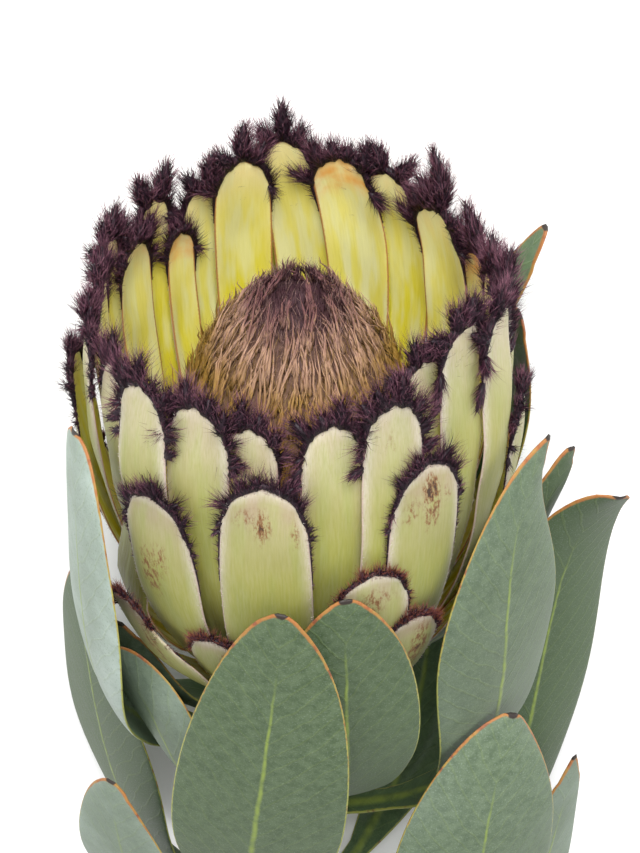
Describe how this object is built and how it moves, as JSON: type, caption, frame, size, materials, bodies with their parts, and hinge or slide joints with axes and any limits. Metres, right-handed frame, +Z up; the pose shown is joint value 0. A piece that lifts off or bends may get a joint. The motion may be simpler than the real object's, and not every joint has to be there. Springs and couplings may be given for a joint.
{
  "type": "protea flower",
  "caption": "Cut protea flower lying on its side: goblet of pale bracts with dark bearded tips round a cone of hairy florets, on a woody stem with broad grey-green leaves",
  "frame": {"origin": "on the surface that the flower lies on, in the flat spot of the leaf under the head", "axes": "+Z up; +Y along the surface from the cut end of the stem toward the open mouth of the bloom; +X to the right as seen from the cut end"},
  "size_m": [0.1305, 0.276, 0.1034],
  "materials": {
    "bract_skin": "satin, silky at the margins",
    "floret_hair": "matte, hairy",
    "leaf_skin": "matte, waxy bloom",
    "stem_bark": "matte"
  },
  "bodies": {
    "root": {"floret_cone": "floret_hair", "leaf_back_right": "leaf_skin", "leaf_back_right_high": "leaf_skin", "leaf_front_centre": "leaf_skin", "leaf_front_left": "leaf_skin", "leaf_left_behind": "leaf_skin", "leaf_left_low": "leaf_skin", "leaf_left_small": "leaf_skin", "leaf_left_tall": "leaf_skin", "leaf_right_behind": "leaf_skin", "leaf_right_bottom": "leaf_skin", "leaf_right_low": "leaf_skin", "leaf_right_spread": "leaf_skin", "leaf_right_tall": "leaf_skin", "leaf_under": "leaf_skin", "leaf_under_left": "leaf_skin", "leaf_under_right": "leaf_skin", "low_bract_01": "bract_skin", "low_bract_02": "bract_skin", "low_bract_03": "bract_skin", "low_bract_04": "bract_skin", "low_bract_05": "bract_skin", "low_bract_06": "bract_skin", "low_bract_07": "bract_skin", "low_bract_08": "bract_skin", "low_bract_09": "bract_skin", "middle_bract_01": "bract_skin", "middle_bract_02": "bract_skin", "middle_bract_03": "bract_skin", "middle_bract_04": "bract_skin", "middle_bract_05": "bract_skin", "middle_bract_06": "bract_skin", "middle_bract_07": "bract_skin", "middle_bract_08": "bract_skin", "middle_bract_09": "bract_skin", "stem": "stem_bark", "tall_bract_01": "bract_skin", "tall_bract_02": "bract_skin", "tall_bract_03": "bract_skin", "tall_bract_04": "bract_skin", "tall_bract_05": "bract_skin", "tall_bract_06": "bract_skin", "tall_bract_07": "bract_skin", "tall_bract_08": "bract_skin", "tall_bract_09": "bract_skin", "tall_bract_10": "bract_skin", "tall_bract_11": "bract_skin", "tall_bract_12": "bract_skin", "tall_bract_13": "bract_skin", "tall_bract_14": "bract_skin", "tall_bract_15": "bract_skin", "tall_bract_16": "bract_skin", "tall_bract_17": "bract_skin", "tall_bract_18": "bract_skin", "tall_bract_19": "bract_skin", "tall_bract_20": "bract_skin", "tall_bract_21": "bract_skin", "tall_bract_22": "bract_skin", "tall_bract_23": "bract_skin", "tall_bract_24": "bract_skin"}
  },
  "joints": []
}
